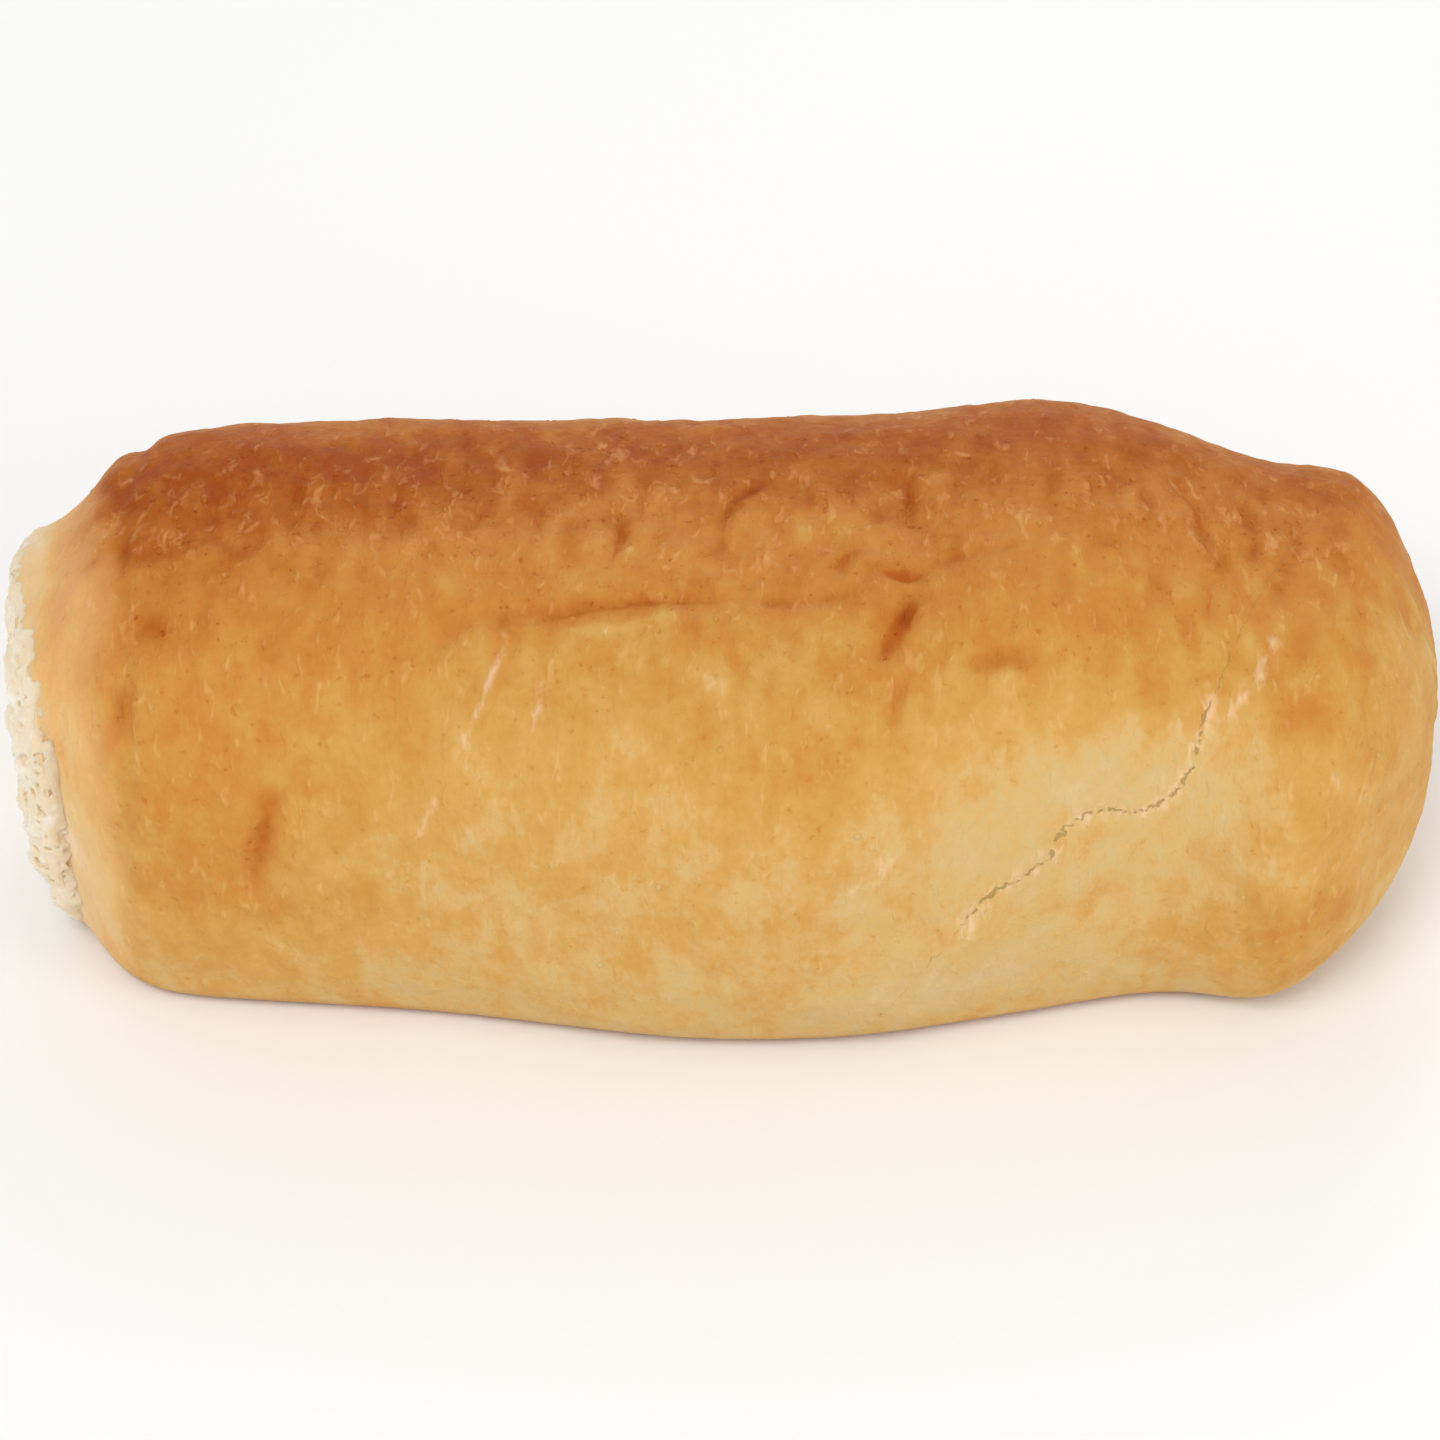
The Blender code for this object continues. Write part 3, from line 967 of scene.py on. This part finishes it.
def crumb_density(node, given, place, sheet_distance, rim):
    """Above 0 within the crumb: a layer round the tear's sheet, with its tufts and pores."""
    per_pore = node(MATHS, (1.0, given["Pore spacing"]), "DIVIDE")
    bend = node(NOISE, {"Vector": place, "Scale": per_pore, "Detail": PORE_BEND_DETAIL})
    strayed = node(VECTOR_MATHS, (bend.outputs["Color"], (0.5, 0.5, 0.5)), "SUBTRACT")
    bent_place = node(VECTOR_MATHS, (strayed, given["Pore bend"], place), "MULTIPLY_ADD")

    def pores(spacing, radius, pull):
        """The distance outside the nearest round pore, whose radius differs from cell to cell."""
        pulled = node(VECTOR_MATHS, (bent_place, pull), "MULTIPLY")
        per_cell = node(MATHS, (1.0, spacing), "DIVIDE")
        cells = node("ShaderNodeTexVoronoi", {"Vector": pulled, "Scale": per_cell}).outputs
        drawn = node("FunctionNodeSeparateColor", (cells["Color"],))
        share = node(MATHS, (drawn, PORE_SPREAD, 1.0 - PORE_SPREAD), "MULTIPLY_ADD")
        own_radius = node(MATHS, (radius, share), "MULTIPLY")
        away = node(MATHS, (cells["Distance"], spacing), "MULTIPLY")
        return node(MATHS, (away, own_radius), "SUBTRACT")

    def torn(vector, size, detail, roughness, level):
        """Rough relief from about -1 to 1, less the level that counts as none."""
        per_size = node(MATHS, (1.0, size), "DIVIDE")
        sizes = {"Vector": vector, "Scale": per_size, "Detail": detail, "Roughness": roughness}
        centred = node(MATHS, (node(NOISE, sizes), 2.0, -1.0), "MULTIPLY_ADD")
        return node(MATHS, (centred, level), "SUBTRACT")

    evenness = node(MATHS, (rim, -RIM_EVENNESS, 1.0), "MULTIPLY_ADD")
    # the crumb tears in tufts, and each tuft in fibres that were pulled along the roll
    tufts = torn(place, given["Tuft size"], *TUFT_PATTERN)
    drawn_out = node(VECTOR_MATHS, (bent_place, FIBRE_PULL), "MULTIPLY")
    fibres = torn(drawn_out, given["Fibre size"], *FIBRE_PATTERN)
    relief = node(MATHS, (tufts, given["Tuft height"]), "MULTIPLY")
    relief = node(MATHS, (fibres, given["Fibre height"], relief), "MULTIPLY_ADD")
    relief = node(MATHS, (relief, evenness), "MULTIPLY")
    relief = node(MATHS, (rim, given["Rim lift"], relief), "MULTIPLY_ADD")
    floor = node(MATHS, (given["Deepest"], -1.0), "MULTIPLY")
    relief = node(MATHS, (relief, floor, given["Floor rounding"]), "SMOOTH_MAX")
    layer = node(MATHS, (given["Thickness"], sheet_distance), "SUBTRACT")
    layer = node(MATHS, (layer, relief), "ADD")
    large = pores(given["Pore spacing"], given["Pore radius"], PORE_PULL)
    small = pores(given["Fine spacing"], given["Fine radius"], FINE_PULL)
    opened = node(MATHS, (layer, large, given["Pore rounding"]), "SMOOTH_MIN")
    opened = node(MATHS, (opened, small, given["Fine rounding"]), "SMOOTH_MIN")
    core = node(MATHS, (layer, given["Pore depth"]), "SUBTRACT")
    return node(MATHS, (opened, core, given["Floor rounding"]), "SMOOTH_MAX")


def crumb_mesh(node, given, density):
    """The surface round all places whose density is above 0, without its loose scraps."""
    box = node("GeometryNodeBoundBox", {"Geometry": given["Geometry"]}).outputs
    margin = node(MATHS, (given["Thickness"], CRUMB_MARGIN), "MULTIPLY")
    low = node(VECTOR_MATHS, (box["Min"], margin), "SUBTRACT")
    high = node(VECTOR_MATHS, (box["Max"], margin), "ADD")
    steps = node(VECTOR_MATHS, (high, low), "SUBTRACT")
    steps = node(VECTOR_MATHS, (steps, given["Voxel"]), "DIVIDE")
    counts = node("ShaderNodeSeparateXYZ", (steps,)).outputs
    grid = {"Density": density, "Background": -1.0, "Min": low, "Max": high}
    grid.update({f"Resolution {axis}": count for axis, count in zip("XYZ", counts)})
    volume = node("GeometryNodeVolumeCube", grid)
    crumb = node("GeometryNodeVolumeToMesh", {"Volume": volume, "Threshold": 0.0})

    island = node("GeometryNodeInputMeshIsland").outputs["Island Index"]
    faces = node("GeometryNodeAccumulateField", {"Group ID": island}, domain="FACE")
    counted = (faces.outputs["Total"], given["Scrap faces"])
    scrap = node("FunctionNodeCompare", counted, "LESS_THAN", data_type="FLOAT")
    scraps = {"Geometry": crumb, "Selection": scrap}
    return node("GeometryNodeDeleteGeometry", scraps, domain="FACE")


def grow_crumb(piece, material):
    """Turns the tear's sheet into torn crumb, and tells its shader the depth and the rim."""
    tree = node_group("torn crumb", {**CRUMB_SIZES, "Material": material})
    node = partial(add, tree)
    given = node("NodeGroupInput").outputs
    place = node("GeometryNodeInputPosition")
    to_sheet = node("GeometryNodeProximity", (given["Geometry"],), target_element="FACES")
    sheet_distance = to_sheet.outputs["Distance"]
    kept = node("GeometryNodeInputNamedAttribute", {"Name": "rim"}, data_type="FLOAT")
    on_sheet = {"Mesh": given["Geometry"], "Value": kept.outputs["Attribute"]}
    on_sheet["Sample Position"] = place
    rim = node("GeometryNodeSampleNearestSurface", on_sheet, data_type="FLOAT").outputs["Value"]
    crumb = crumb_mesh(node, given, crumb_density(node, given, place, sheet_distance, rim))
    shallow = node(MATHS, (sheet_distance, given["Thickness"]), "DIVIDE")
    depth = node(MATHS, (1.0, shallow), "SUBTRACT")
    for name, value in (("depth", depth), ("rim", rim)):
        told = {"Geometry": crumb, "Name": name, "Value": value}
        crumb = node("GeometryNodeStoreNamedAttribute", told, data_type="FLOAT", domain="POINT")
    smooth = node("GeometryNodeSetShadeSmooth", {"Geometry": crumb})
    grow(piece, tree, smooth, given["Material"])


def grow_blisters(crust, material):
    """Small flat blisters, set into the crust where its skin bubbled."""
    tree = node_group("crust blisters", {**BLISTER_SIZES, "Material": material})
    node = partial(add, tree)
    given = node("NodeGroupInput").outputs
    blistered = node("GeometryNodeInputNamedAttribute", {"Name": "blistered"}, data_type="FLOAT")
    spots = node(
        "GeometryNodeDistributePointsOnFaces",
        {
            "Mesh": given["Geometry"],
            "Distance Min": given["Gap"],
            "Density Max": given["Density"],
            "Density Factor": blistered.outputs["Attribute"],
            "Seed": given["Seed"],
        },
        distribute_method="POISSON",
    ).outputs
    drawn = node("FunctionNodeRandomValue", {"Seed": given["Seed"]}, data_type="FLOAT")
    share = node(MATHS, (drawn.outputs["Value"], given["Rareness"]), "POWER")
    radius = node(RANGE, (share, 0.0, 1.0, given["Smallest"], given["Largest"]))
    height = node(MATHS, (radius, given["Flatness"]), "MULTIPLY")
    scale = node("ShaderNodeCombineXYZ", (radius, radius, height))
    bubble = node("GeometryNodeMeshUVSphere", (BLISTER_SEGMENTS, BLISTER_RINGS, 1.0))
    bubble = node("GeometryNodeSetShadeSmooth", {"Geometry": bubble})
    where = {"Points": spots["Points"], "Rotation": spots["Rotation"], "Scale": scale}
    placed = node("GeometryNodeInstanceOnPoints", {**where, "Instance": bubble})
    piece = shown("crust_blisters", crust.data.copy())
    grow(piece, tree, placed, given["Material"])
    return piece


# ---- materials


def new_material(name):
    material = bpy.data.materials.new(name)
    material.use_nodes = True
    tree = material.node_tree
    return material, tree, tree.nodes["Principled BSDF"]


def per_metre(millimetres):
    """The scale of a texture whose pattern repeats about every so many millimetres."""
    return 1000.0 / millimetres


def crust_marks(node, place):
    """What the crust's mesh tells its shader, and its patterns and marks, all by name."""

    def mark(label, pattern, strength):
        """A mark as it comes out of its pattern, and how strong it is there."""
        shows = node(RANGE, (pattern, *MARKS[label]))
        return node(MATHS, (shows, strength), "MULTIPLY")

    drawn_out = node("ShaderNodeMapping", {"Vector": place, "Scale": ROUND_THE_ROLL})
    look = {}
    for told in ("bake", "stretched", "crease", "crack", "flaked", "blistered"):
        look[told] = node("ShaderNodeAttribute", attribute_name=told).outputs["Fac"]
    for label, (size, detail, is_drawn_out, curl) in CRUST_PATTERNS.items():
        sizes = {"Scale": per_metre(size), "Detail": detail, "Roughness": PATTERN_ROUGHNESS}
        vector = drawn_out if is_drawn_out else place
        look[label] = node(NOISE, {"Vector": vector, "Distortion": curl, **sizes})

    look["browned"] = node(RANGE, (look["bake"], *MARKS["browned"]))
    look["soft blotches"] = node(RANGE, (look["blotches"], *MARKS["soft blotches"]))
    # painted shade in the crust's tiny pits
    look["shaded pits"] = mark("shaded pits", look["specks"], look["browned"])
    # pale flecks, more where the skin blistered: painted highlights on tiny raised bumps
    highlight_flecks = node(MATHS, (look["blistered"], BLISTERED_FLECKS, look["curls"]), "MULTIPLY_ADD")
    highlight_flecks = mark("highlight_flecks", highlight_flecks, look["browned"])

    # a crease's painted shade is darkest in its middle, its edge is ragged, and no fleck is in it
    frayed = node(MATHS, (look["curls"], 0.5), "SUBTRACT")
    frayed = node(MATHS, (frayed, GROOVE_FRAY, look["crease"]), "MULTIPLY_ADD")
    look["shaded groove"] = mark("shaded groove", frayed, look["crease"])
    beside = node(MATHS, (1.0, look["shaded groove"]), "SUBTRACT", use_clamp=True)
    look["highlight_flecks"] = node(MATHS, (highlight_flecks, beside), "MULTIPLY")

    # the crack is a thin line that wanders and breaks off, with pale flakes beside it
    wander = node(MATHS, (look["wander"], 0.5), "SUBTRACT")
    off_crack = node(MATHS, (wander, CRACK_WANDER, look["crack"]), "MULTIPLY_ADD")
    off_crack = node(MATHS, (off_crack,), "ABSOLUTE")
    opening = mark("wide crack", look["blotches"], CRACK_OPENING)
    edge = node(MATHS, (opening, CRACK_EDGE), "ADD")
    line = node(RANGE, (off_crack, edge, opening))
    look["open crack"] = mark("whole crack", look["breaks"], line)
    flakes = node(MATHS, (look["flaked"], FLAKED_FLAKES, look["flakes"]), "MULTIPLY_ADD")
    look["pale flakes"] = mark("pale flakes", flakes, look["flaked"])
    return look


def crust_colour(node, place, look, bake_shift):
    """The colour of the crust: its mottled bake, the marks laid over that, and the foot."""
    bake = node(MATHS, (look["bake"], bake_shift), "ADD")
    spread = node(MATHS, (look["browned"], MOTTLING_BROWNED, MOTTLING_PALE), "MULTIPLY_ADD")
    for label, amount in MOTTLING.items():
        unevenness = node(MATHS, (look[label], 0.5), "SUBTRACT")
        unevenness = node(MATHS, (unevenness, spread), "MULTIPLY")
        bake = node(MATHS, (unevenness, amount, bake), "MULTIPLY_ADD")
    for label, amount in MARKS_BAKE.items():
        bake = node(MATHS, (look[label], amount, bake), "MULTIPLY_ADD")
    colour = node(RAMP, (bake,))
    set_stops(colour, CRUST_COLOURS)

    # the tray side is browner and blotchy
    height = node("ShaderNodeSeparateXYZ", (place,)).outputs["Z"]
    foot = node(RANGE, (height, *FOOT_HEIGHTS, 1.0, 0.0))
    clouds = node(MATHS, (look["clouds"], FOOT_CLOUDS), "MULTIPLY")
    foot_bake = node(MATHS, (look["specks"], FOOT_SPECKS, clouds), "MULTIPLY_ADD")
    foot_colour = node(RAMP, (foot_bake,))
    set_stops(foot_colour, FOOT_COLOURS)
    coats = [(look[label], share, linear(code)) for label, (code, share) in LAID_OVER.items()]
    for where, share, coat in [*coats, (foot, FOOT_SHARE, foot_colour)]:
        factor = node(MATHS, (where, share), "MULTIPLY")
        inputs = {MIX_FACTOR: factor, MIX_FROM: colour, MIX_TO: coat}
        colour = node("ShaderNodeMix", inputs, data_type="RGBA").outputs[MIX_RESULT]
    return colour


def baked_crust(name, bake_shift):
    """Crust of a soft enriched dough, baked without steam: matt, thin and a little waxy.

    Sugar and milk brown it in patches, darkest at the crown, and its hollows are darker, partly as
    browner crust and partly as painted shade. It shows a soft, slightly see-through skin, so it
    has some scattering below it.
    """
    material, tree, shader = new_material(name)
    node = partial(add, tree)
    place = node("ShaderNodeTexCoord").outputs["Object"]
    look = crust_marks(node, place)
    colour = crust_colour(node, place, look, bake_shift)
    relief = 0.0
    for label, amount in CRUST_RELIEF.items():
        relief = node(MATHS, (look[label], amount, relief), "MULTIPLY_ADD")
    bump = node("ShaderNodeBump", {"Height": relief, **CRUST_BUMP})
    roughness = node(MATHS, (look["streaks"], STREAK_ROUGHNESS, CRUST_ROUGHNESS), "MULTIPLY_ADD")
    skin = {"Base Color": colour, "Roughness": roughness, "Normal": bump}
    give(tree, shader, {**skin, **CRUST_FINISH})
    return material


def soft_crumb():
    """White crumb of a soft roll, torn: matt and open, and paler than any crust.

    Light goes well into it, and its hollows are painted a warmer, slightly darker cream as painted
    shade.
    """
    material, tree, shader = new_material("soft wheat crumb")
    node = partial(add, tree)
    place = node("ShaderNodeTexCoord").outputs["Object"]
    patterns = []
    for size, detail, roughness in (CRUMB_CLOUD, CRUMB_GRAIN):
        sizes = {"Scale": per_metre(size), "Detail": detail, "Roughness": roughness}
        patterns.append(node(NOISE, {"Vector": place, **sizes}))
    cloud, grain = patterns
    depth = node("ShaderNodeAttribute", attribute_name="depth").outputs["Fac"]
    # painted shade: the deeper a place lies in the crumb, the darker and yellower its colour
    tone = node(MATHS, (depth, CRUMB_HOLLOW_SHADE, cloud), "MULTIPLY_ADD")
    colour = node(RAMP, (tone,))
    set_stops(colour, CRUMB_COLOURS)
    # next to the skin the crumb takes a little of its colour
    rim = node("ShaderNodeAttribute", attribute_name="rim").outputs["Fac"]
    ragged_rim = node(MATHS, (cloud, CRUMB_RIM_CLOUDS, rim), "MULTIPLY_ADD")
    beside_skin = node(RANGE, (ragged_rim, *CRUMB_RIM_SHOWS))
    inputs = {MIX_FACTOR: beside_skin, MIX_FROM: colour, MIX_TO: linear(CRUMB_RIM_COLOUR)}
    colour = node("ShaderNodeMix", inputs, data_type="RGBA").outputs[MIX_RESULT]
    bump = node("ShaderNodeBump", {"Height": grain, **CRUMB_BUMP})
    give(tree, shader, {"Base Color": colour, "Normal": bump, **CRUMB_FINISH})
    return material


def matt_board():
    """Pale painted board, quite matt, for the floor under the roll."""
    material, tree, shader = new_material("matt painted board")
    give(tree, shader, {"Base Color": linear(FLOOR_COLOUR), **FLOOR_FINISH})
    return material


# ---- studio


def soft_light(name, place, aim, width, watts):
    lamp = bpy.data.lights.new(name, "AREA")
    lamp.shape = "DISK"
    lamp.size = width
    lamp.energy = watts
    light = shown(name, lamp)
    light.location = place
    light.rotation_euler = (Vector(aim) - Vector(place)).to_track_quat("-Z", "Y").to_euler()


def make_studio():
    floor = shown("floor", bpy.data.meshes.new("floor"))
    shape = bmesh.new()
    bmesh.ops.create_grid(shape, x_segments=1, y_segments=1, size=FLOOR_REACH)
    shape.to_mesh(floor.data)
    shape.free()
    floor.data.materials.append(matt_board())

    world = bpy.data.worlds.new("white tent")
    world.use_nodes = True
    bpy.context.scene.world = world
    sky = world.node_tree.nodes["Background"]
    give(world.node_tree, sky, {"Color": linear(SKY_COLOUR), "Strength": SKY_STRENGTH})
    for light in LIGHTS:
        soft_light(*light)

    camera = shown("camera", bpy.data.cameras.new("camera"))
    camera.data.lens = CAMERA_LENS
    camera.data.sensor_width = CAMERA_SENSOR
    camera.data.clip_start = CAMERA_NEAREST
    elevation = math.radians(CAMERA_ELEVATION)
    ahead = Vector((0.0, math.cos(elevation), -math.sin(elevation)))
    camera.location = Vector(CAMERA_TARGET) - ahead * CAMERA_DISTANCE
    camera.rotation_euler = ahead.to_track_quat("-Z", "Y").to_euler()
    bpy.context.scene.camera = camera
    bpy.context.scene.view_settings.view_transform = "Standard"


# ---- putting it together

make_studio()
crust, crumb = make_crust_and_tear()
crust.data.materials.clear()
crust.data.materials.append(baked_crust("baked roll crust", 0.0))
grow_crumb(crumb, soft_crumb())
# the blisters' paler crust is a painted highlight
blisters = grow_blisters(crust, baked_crust("blistered crust, painted highlight", BLISTER_HIGHLIGHT))

for piece in (crust, crumb, blisters):
    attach(piece, "root")
for piece in (crust, crumb):
    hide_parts("roll")
